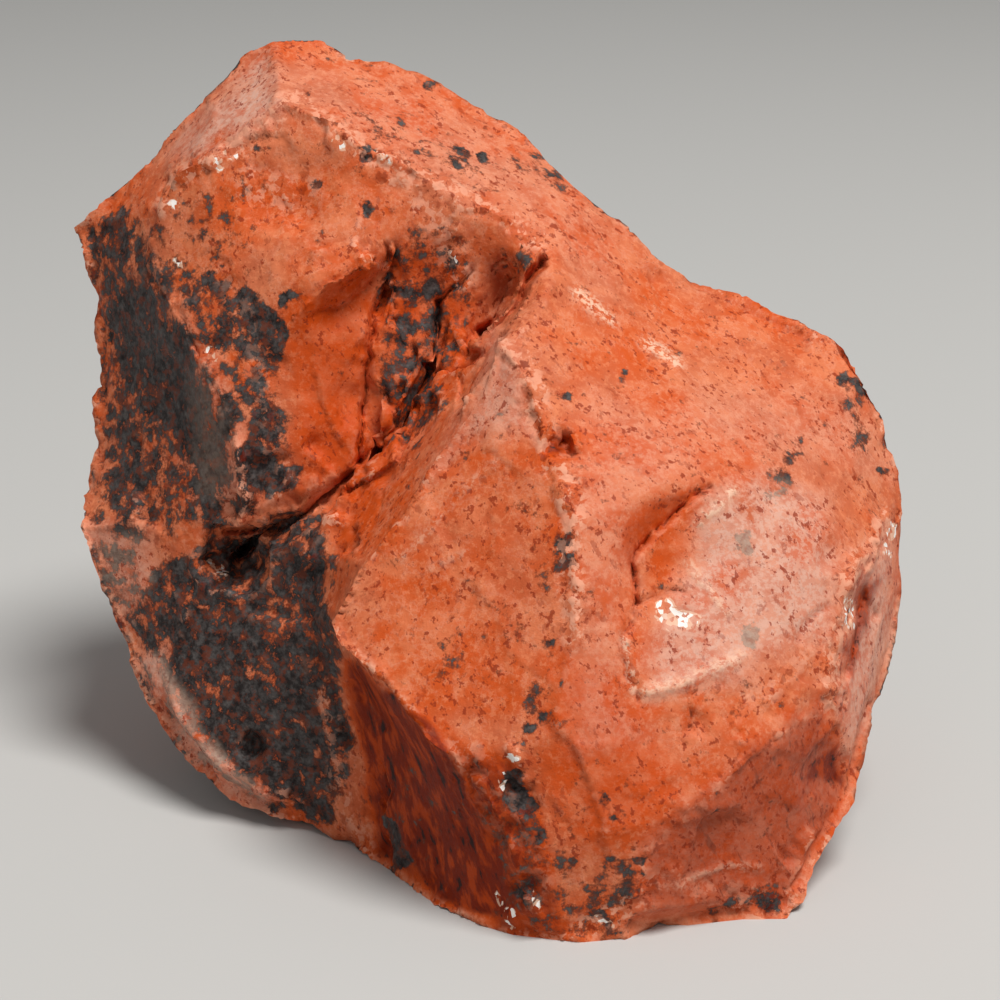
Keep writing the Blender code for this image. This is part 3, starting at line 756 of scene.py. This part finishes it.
def mark_finish(skin, mesh):
    """What the finish needs to know of the shape, kept on the points."""
    spots = to_sight(skin.points)
    normals = skin.normals()
    front = smoothstep(-0.10, 0.15, facing(normals))
    spots = spots + drift(skin.points, 5.0, (6, 7)) * 1.6
    strayed = spots + drift(skin.points, 11.0, (12, 13)) * 2.6
    blotted = blend_places(strayed, BLACK_PLACES, FEW_BLACK)
    ragged = 0.9 * grain(skin.points, 1.9, SEED + 61, 2)
    for centre, radius in SPOTS:
        away = np.linalg.norm(spots - np.array(centre), axis=1) / radius + ragged
        blotted = np.maximum(blotted, SPOT_BLACK * smoothstep(1.7, 0.4, away))
    hidden = 0.42 + 0.9 * grain(skin.points, 42.0, 8) + 0.35 * grain(skin.points, 16.0, 9)
    black = front * blotted + (1.0 - front) * hidden
    painted_glint = np.zeros(len(spots))
    for half, line in PAINTED_GLINTS.values():
        painted_glint = np.maximum(painted_glint, 1.0 - line_distance(spots, line) / half)
    fine = skin.relief(4)
    broad = skin.relief(30)
    worn = smoothstep(0.04, 0.20, fine) * 0.5 + smoothstep(0.3, 1.2, broad) * 0.3
    # painted shade: concave places, measured from the relief, are darkened in the finish
    cavity_shade = smoothstep(0.04, 0.30, -fine) * 0.6 + smoothstep(0.3, 1.2, -broad) * 0.6
    write_values(mesh, "black", np.clip(black, 0.0, 1.0))
    # painted sheen: paler colour where the facets would mirror the bright surroundings
    write_values(mesh, "painted_sheen", front * blend_places(spots, SHEEN_PLACES))
    # painted shade: darker, purer red under overhangs and in notches and hollows
    write_values(mesh, "shade_and_deep_red", front * blend_places(spots, SHADE_AND_DEEP_RED_PLACES))
    write_values(mesh, "worn", worn)
    write_values(mesh, "crushed", skin.crushed)
    # cream scuffs, partly painted highlight along some lines
    write_values(mesh, "scuffed", skin.scuffed)
    # painted glints: white highlights laid on as colour
    write_values(mesh, "painted_glint", front * painted_glint)
    write_values(mesh, "cavity_shade", cavity_shade)


def build_stone():
    """The whole stone: a fine copy of the solid, shaped, marked and hung on the frame."""
    noise.seed_set(SEED)  # noise_vector would otherwise take its start from the clock
    bm = fine_body(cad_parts[NODE])
    mesh = bpy.data.meshes.new("stone")
    bm.to_mesh(mesh)
    bm.free()
    skin = Skin(mesh)
    ease_places(skin, share=1.0)
    flatten_faces(skin, size=17.0, lean=9.0, strength=0.9, seed=SEED + 5)
    flatten_faces(skin, size=6.5, lean=4.0, strength=0.6, seed=SEED + 6)
    skin.push(np.clip(skin.relief(10) * 1.1, -0.9, 0.9))
    ease_places(skin, share=0.3)
    scar_faces(
        skin, low=-1.0, high=-0.1, count=70, sizes=(30.0, 90.0), depths=(0.5, 1.6), tilt=0.10, seed=SEED
    )
    scar_faces(
        skin, low=-0.1, high=1.0, count=170, sizes=(40.0, 160.0), depths=(0.07, 0.22), tilt=0.03,
        seed=SEED + 1,
    )
    carve_uneven(skin)
    step_faces(skin, count=70, seed=SEED + 4)
    carve_marks(skin)
    chip_ridges(skin, count=220, smallest=6.0, largest=24.0, seed=SEED + 2)
    blunt_needles(skin)
    mark_finish(skin, mesh)
    mesh.vertices.foreach_set("co", (skin.points * MM).ravel())
    mesh.shade_smooth()
    mesh.set_sharp_from_angle(angle=SHARP)
    stone = bpy.data.objects.new("stone", mesh)
    bpy.context.scene.collection.objects.link(stone)
    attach(stone, "root")
    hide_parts(NODE)
    return stone


# ---------------------------------------------------------------- finish


class Finish:
    """Short names for building a node tree."""

    def __init__(self, name):
        self.material = bpy.data.materials.new(name)
        self.material.use_nodes = True
        self.tree = self.material.node_tree
        self.shader = self.tree.nodes["Principled BSDF"]
        coordinates = self.tree.nodes.new("ShaderNodeTexCoord")
        scale = self.tree.nodes.new("ShaderNodeVectorMath")
        scale.operation = "SCALE"
        scale.inputs["Scale"].default_value = 1 / MM
        self.tree.links.new(coordinates.outputs["Object"], scale.inputs[0])
        self.place = scale.outputs[0]

    def put(self, value, socket):
        if isinstance(value, (int, float, tuple)):
            socket.default_value = value
        else:
            self.tree.links.new(value, socket)

    def stretched(self, turn, stretch):
        """The place, turned and then drawn out, for marks that run one way."""
        source = self.place
        for name, amount in (("Rotation", turn), ("Scale", stretch)):
            node = self.tree.nodes.new("ShaderNodeMapping")
            node.inputs[name].default_value = amount
            self.tree.links.new(source, node.inputs["Vector"])
            source = node.outputs["Vector"]
        return source

    def noise(self, size, detail=3.0, rough=0.6, bend=0.0, at=None):
        node = self.tree.nodes.new("ShaderNodeTexNoise")
        node.inputs["Scale"].default_value = 1.0 / size
        node.inputs["Detail"].default_value = detail
        node.inputs["Roughness"].default_value = rough
        node.inputs["Distortion"].default_value = bend
        self.tree.links.new(at or self.place, node.inputs["Vector"])
        return node.outputs["Fac"]

    def cells(self, size, at=None):
        """One number from 0 to 1 for each small angular chip."""
        node = self.tree.nodes.new("ShaderNodeTexVoronoi")
        node.inputs["Scale"].default_value = 1.0 / size
        self.tree.links.new(at or self.place, node.inputs["Vector"])
        split = self.tree.nodes.new("ShaderNodeSeparateColor")
        self.tree.links.new(node.outputs["Color"], split.inputs["Color"])
        return split.outputs["Red"]

    def value(self, name):
        node = self.tree.nodes.new("ShaderNodeAttribute")
        node.attribute_name = name
        return node.outputs["Fac"]

    def math(self, operation, a, b=0.0):
        node = self.tree.nodes.new("ShaderNodeMath")
        node.operation = operation
        self.put(a, node.inputs[0])
        self.put(b, node.inputs[1])
        return node.outputs[0]

    def step(self, value, low, high, out_low=0.0, out_high=1.0):
        """A soft step from one level to another as the value rises."""
        node = self.tree.nodes.new("ShaderNodeMapRange")
        node.interpolation_type = "SMOOTHSTEP"
        self.put(value, node.inputs["Value"])
        self.put(low, node.inputs["From Min"])
        self.put(high, node.inputs["From Max"])
        self.put(out_low, node.inputs["To Min"])
        self.put(out_high, node.inputs["To Max"])
        return node.outputs["Result"]

    def mix(self, share, a, b):
        node = self.tree.nodes.new("ShaderNodeMix")
        node.data_type = "RGBA"
        self.put(share, node.inputs["Factor"])
        self.put(a, node.inputs["A"])
        self.put(b, node.inputs["B"])
        return node.outputs["Result"]


RED = (0.600, 0.090, 0.017, 1.0)
RED_DULL = (0.540, 0.130, 0.056, 1.0)
RED_LIGHT = (0.740, 0.230, 0.105, 1.0)
RED_DARK = (0.270, 0.030, 0.009, 1.0)
RED_DEEP = (0.180, 0.015, 0.003, 1.0)
RED_PURE = (0.560, 0.068, 0.006, 1.0)
# SHEEN_TINT is the colour of the painted sheen
SHEEN_TINT = (0.680, 0.390, 0.300, 1.0)
SALMON = (0.760, 0.330, 0.210, 1.0)
CREAM = (0.850, 0.560, 0.400, 1.0)
# GREY_SHEEN is a painted sheen colour for black glass
GREY_SHEEN = (0.330, 0.290, 0.230, 1.0)
WHITE = (0.900, 0.850, 0.800, 1.0)
BROWN = (0.150, 0.034, 0.016, 1.0)
BLACK = (0.018, 0.014, 0.014, 1.0)
# BLACK_SHEEN is a painted sheen colour for black glass
BLACK_SHEEN = (0.120, 0.108, 0.104, 1.0)


# Sizes of the patterns in the glass and of the painted sheen, mm.
BROAD = 19.0
GLOSS = 9.0
SPECK_CLOUD = 8.0
CLOUD = 7.0
WEB = 5.0
BLOT = 3.2
FLAKE = 2.4
DAB = 2.2
FLOW = 2.0
STAIN = 2.0
SHEEN_PATCH = 1.6
FLAKE_CELL = 1.4
FLECK = 1.3
CRUMB = 1.1
SPECK = 1.1
SPARK = 0.8
DUST = 0.45


def red_ground(f, cloud, fleck):
    """Rust red that drifts from dull to pure, with lighter clouds and flecks; where shade is painted it
    turns purer and the light clouds fade.
    """
    shade_and_deep_red = f.value("shade_and_deep_red")
    colour = f.mix(f.step(f.noise(BROAD, 3.0, 0.55), 0.38, 0.62), RED, RED_DULL)
    # painted shade: the shaded places get purer red and fewer light clouds
    colour = f.mix(f.step(shade_and_deep_red, 0.0, 0.35, 0.0, 0.90), colour, RED_PURE)
    plain = f.step(shade_and_deep_red, 0.1, 0.5, 1.0, 0.30)
    light = f.math("MULTIPLY", f.step(cloud, 0.42, 0.66, 0.0, 0.60), plain)
    colour = f.mix(light, colour, RED_LIGHT)
    light = f.math("MULTIPLY", f.step(fleck, 0.50, 0.62, 0.0, 0.55), plain)
    return f.mix(light, colour, RED_LIGHT)


def sheen_and_web(f, colour, cloud, fleck):
    """Painted sheen as pale smoky colour, and a fine light web in the glass where it clouds."""
    painted_sheen = f.value("painted_sheen")
    # painted sheen: the sheen places turn pale and smoky pink, standing in for reflections
    sheen_share = f.math("MULTIPLY", painted_sheen, f.step(cloud, 0.25, 0.55, 0.2, 0.8))
    sheen_share = f.math("ADD", sheen_share, f.math("MULTIPLY", painted_sheen, f.step(fleck, 0.45, 0.55, -0.2, 0.3)))
    colour = f.mix(sheen_share, colour, SHEEN_TINT)
    web = f.math("ABSOLUTE", f.math("SUBTRACT", f.noise(WEB, 6.0, 0.70), 0.5))
    web = f.math("MULTIPLY", f.step(web, 0.035, 0.005), f.step(cloud, 0.40, 0.55))
    web = f.math("MULTIPLY", web, f.step(f.value("shade_and_deep_red"), 0.1, 0.4, 0.28, 0.05))
    return f.mix(web, colour, SALMON)


def dark_specks(f, colour):
    """Small dark red specks and dabs, drawn out a little along the flow."""
    specks = f.noise(SPECK, 4.0, 0.6, at=f.stretched((0.3, 0.4, 0.0), (1.0, 1.0, 0.75)))
    few = f.step(f.noise(SPECK_CLOUD, 3.0, 0.6), 0.40, 0.60, 0.645, 0.565)
    speck = f.step(f.math("SUBTRACT", specks, few), 0.0, 0.05, 0.0, 0.80)
    colour = f.mix(speck, colour, RED_DARK)
    across = f.stretched((0.0, math.radians(20), 0.0), (1.0, 1.0, 0.6))
    dabs = f.noise(DAB, 4.0, 0.65, at=across)
    return f.mix(f.step(dabs, 0.60, 0.66, 0.0, 0.45), colour, RED_DARK)


def shade_and_flow_bands(f, colour):
    """Painted shade: darker colour in the hollows and under the overhangs, with flow banding of the
    glass there.
    """
    shade_and_deep_red = f.value("shade_and_deep_red")
    # painted shade: hollows and the shade places darken towards deep red
    shade_in_hollows = f.math("MULTIPLY", f.value("cavity_shade"), 0.32)
    depth = f.math("MAXIMUM", f.step(shade_and_deep_red, 0.30, 1.0, 0.0, 0.96), shade_in_hollows)
    colour = f.mix(depth, colour, RED_DEEP)
    along = f.stretched((0.0, math.radians(-60), 0.0), (0.2, 1.0, 1.0))
    flow = f.noise(FLOW, 5.0, 0.6, at=along)
    warm = f.math("MULTIPLY", f.step(shade_and_deep_red, 0.45, 0.80), f.step(flow, 0.48, 0.62, 0.0, 0.60))
    colour = f.mix(warm, colour, RED_PURE)
    cold = f.math("MULTIPLY", f.step(shade_and_deep_red, 0.45, 0.80), f.step(flow, 0.42, 0.35, 0.0, 0.9))
    return f.mix(cold, colour, BLACK)


def black_glass(f, colour, crumb):
    """Black spots and patches with brown rims, and a painted grey sheen on the black glass. Gives the
    colour, and where the glass is black.
    """
    black, painted_sheen = f.value("black"), f.value("painted_sheen")
    blots = f.noise(BLOT, 7.0, 0.70)
    over = f.math("SUBTRACT", blots, f.step(black, 0.0, 1.0, 0.72, 0.36))
    clear = f.step(painted_sheen, 0.2, 0.8, 1.0, 0.1)
    rim = f.math("MULTIPLY", f.step(over, -0.09, 0.00, 0.0, 0.80), clear)
    colour = f.mix(rim, colour, BROWN)
    is_black = f.step(over, -0.010, 0.022)
    is_black = f.math("MULTIPLY", is_black, f.step(painted_sheen, 0.2, 0.9, 1.0, 0.55))
    # painted sheen: grey blotches on the black glass, and a grey film in the sheen places, stand in for
    # reflections
    coal = f.mix(f.step(f.noise(SHEEN_PATCH, 5.0, 0.7), 0.36, 0.80), BLACK, BLACK_SHEEN)
    coal = f.mix(f.step(f.noise(STAIN, 5.0, 0.7), 0.50, 0.60, 0.0, 0.75), coal, BROWN)
    sheen_film = f.step(painted_sheen, 0.2, 0.8, 0.0, 0.85)
    sheen_film = f.math("MULTIPLY", sheen_film, f.step(crumb, 0.36, 0.58, 0.35, 1.0))
    coal = f.mix(sheen_film, coal, GREY_SHEEN)
    return f.mix(is_black, colour, coal), is_black


def chipped_edges(f, colour, is_black):
    """Light and dark chips on worn and crushed edges. Gives the colour, and the light chips."""
    crushed = f.value("crushed")
    bare = f.math("MULTIPLY", f.value("shade_and_deep_red"), 1.2)
    bare = f.math("ADD", f.math("MULTIPLY", is_black, 0.6), bare)
    edge = f.math("ADD", f.value("worn"), crushed)
    edge = f.math("MULTIPLY", edge, f.step(bare, 0.1, 1.0, 1.0, 0.12))
    flakes = f.math("MULTIPLY", f.noise(FLAKE, 5.0, 0.62), 0.6)
    flakes = f.math("ADD", flakes, f.math("MULTIPLY", f.cells(FLAKE_CELL), 0.10))
    flakes = f.math("ADD", flakes, 0.15)
    light_chip = f.math("MULTIPLY", edge, f.step(flakes, 0.505, 0.545))
    dark_chip = f.math("MULTIPLY", crushed, f.step(flakes, 0.44, 0.40))
    colour = f.mix(f.math("MULTIPLY", dark_chip, 0.75), colour, RED_DEEP)
    strong = f.math("MULTIPLY", light_chip, f.step(crushed, 0.0, 0.8, 0.45, 0.80))
    return f.mix(strong, colour, SALMON), light_chip


def scuffs_and_painted_glints(f, colour, crumb):
    """Cream scuffs, with a painted highlight along some scuff lines, and painted glints: small white
    and cream sparks laid on as colour.
    """
    scuffed = f.math("MULTIPLY", f.value("scuffed"), f.step(crumb, 0.47, 0.55))
    colour = f.mix(f.math("MULTIPLY", scuffed, 0.85), colour, CREAM)
    # painted glints: cream and white sparks stand in for reflections
    lit = f.math("MINIMUM", f.math("MULTIPLY", f.value("painted_glint"), 1.5), 0.52)
    spark = f.math("ADD", f.cells(SPARK), lit)
    colour = f.mix(f.step(spark, 1.02, 1.07, 0.0, 0.65), colour, CREAM)
    return f.mix(f.step(spark, 1.25, 1.30), colour, WHITE)


def broken_surface(f, is_black, light_chip, crumb):
    """Satin to glossy, blacker glass the glossier, over a fine rough grain."""
    gloss = f.step(f.noise(GLOSS, 3.0, 0.5), 0.3, 0.7, 0.36, 0.52)
    gloss = f.math("SUBTRACT", gloss, f.math("MULTIPLY", is_black, 0.14))
    gloss = f.math("ADD", gloss, f.math("MULTIPLY", light_chip, 0.10))
    f.put(gloss, f.shader.inputs["Roughness"])
    f.shader.inputs["IOR"].default_value = 1.49
    f.shader.inputs["Specular IOR Level"].default_value = 0.09
    bump = f.tree.nodes.new("ShaderNodeBump")
    bump.inputs["Strength"].default_value = 0.45
    bump.inputs["Distance"].default_value = 0.0004
    height = f.math("ADD", crumb, f.math("MULTIPLY", f.noise(DUST, 4.0, 0.7), 0.45))
    f.put(height, bump.inputs["Height"])
    f.put(bump.outputs["Normal"], f.shader.inputs["Normal"])


def glass_material():
    """Rust-red and black volcanic glass, laid up from the ground colour to the surface."""
    f = Finish("mahogany_glass")
    cloud = f.noise(CLOUD, 5.0, 0.62, 0.4)
    crumb = f.noise(CRUMB, 5.0, 0.65)
    fleck = f.noise(FLECK, 6.0, 0.72)
    colour = red_ground(f, cloud, fleck)
    colour = sheen_and_web(f, colour, cloud, fleck)
    colour = dark_specks(f, colour)
    colour = shade_and_flow_bands(f, colour)
    colour, is_black = black_glass(f, colour, crumb)
    colour, light_chip = chipped_edges(f, colour, is_black)
    colour = scuffs_and_painted_glints(f, colour, crumb)
    f.put(colour, f.shader.inputs["Base Color"])
    broken_surface(f, is_black, light_chip, crumb)
    return f.material


# ---------------------------------------------------------------- studio


def add_floor():
    bm = bmesh.new()
    bmesh.ops.create_grid(bm, x_segments=1, y_segments=1, size=3.0)
    mesh = bpy.data.meshes.new("floor")
    bm.to_mesh(mesh)
    bm.free()
    floor = bpy.data.objects.new("floor", mesh)
    bpy.context.scene.collection.objects.link(floor)
    material = bpy.data.materials.new("floor_paper")
    material.use_nodes = True
    shader = material.node_tree.nodes["Principled BSDF"]
    shader.inputs["Base Color"].default_value = (0.52, 0.52, 0.51, 1.0)
    shader.inputs["Roughness"].default_value = 0.9
    mesh.materials.append(material)


def add_light(name, place, aim, size, watts, colour):
    lamp = bpy.data.lights.new(name, "AREA")
    lamp.shape = "DISK"
    lamp.size = size
    lamp.energy = watts
    lamp.color = colour
    holder = bpy.data.objects.new(name, lamp)
    holder.location = place
    holder.rotation_euler = (Vector(aim) - Vector(place)).to_track_quat("-Z", "Y").to_euler()
    bpy.context.scene.collection.objects.link(holder)


def add_camera():
    data = bpy.data.cameras.new("camera")
    data.lens = 90.0
    data.sensor_width = 36.0
    camera = bpy.data.objects.new("camera", data)
    camera.rotation_euler = (math.pi / 2 - LEAN, 0.0, 0.0)
    up = Vector((0.0, math.sin(LEAN), math.cos(LEAN)))
    out = Vector((0.0, -math.cos(LEAN), math.sin(LEAN)))
    camera.location = (SHEET_SHIFT + up * EYE_HEIGHT + out * SIGHT) * MM
    bpy.context.scene.collection.objects.link(camera)
    bpy.context.scene.camera = camera


def add_studio():
    add_floor()
    world = bpy.data.worlds.new("room")
    world.use_nodes = True
    sky = world.node_tree.nodes["Background"]
    sky.inputs["Color"].default_value = (0.90, 0.89, 0.88, 1.0)
    sky.inputs["Strength"].default_value = 0.26
    bpy.context.scene.world = world
    middle = (0.0, 0.0, 0.06)
    add_light("key panel", (0.44, -0.48, 1.60), middle, 0.75, 31.0, (1.0, 0.98, 0.95))
    add_light("fill panel", (-0.40, -1.20, 0.70), middle, 0.9, 1.2, (1.0, 0.97, 0.94))
    add_camera()
    bpy.context.scene.view_settings.view_transform = "Standard"


stone = build_stone()
stone.data.materials.append(glass_material())
add_studio()
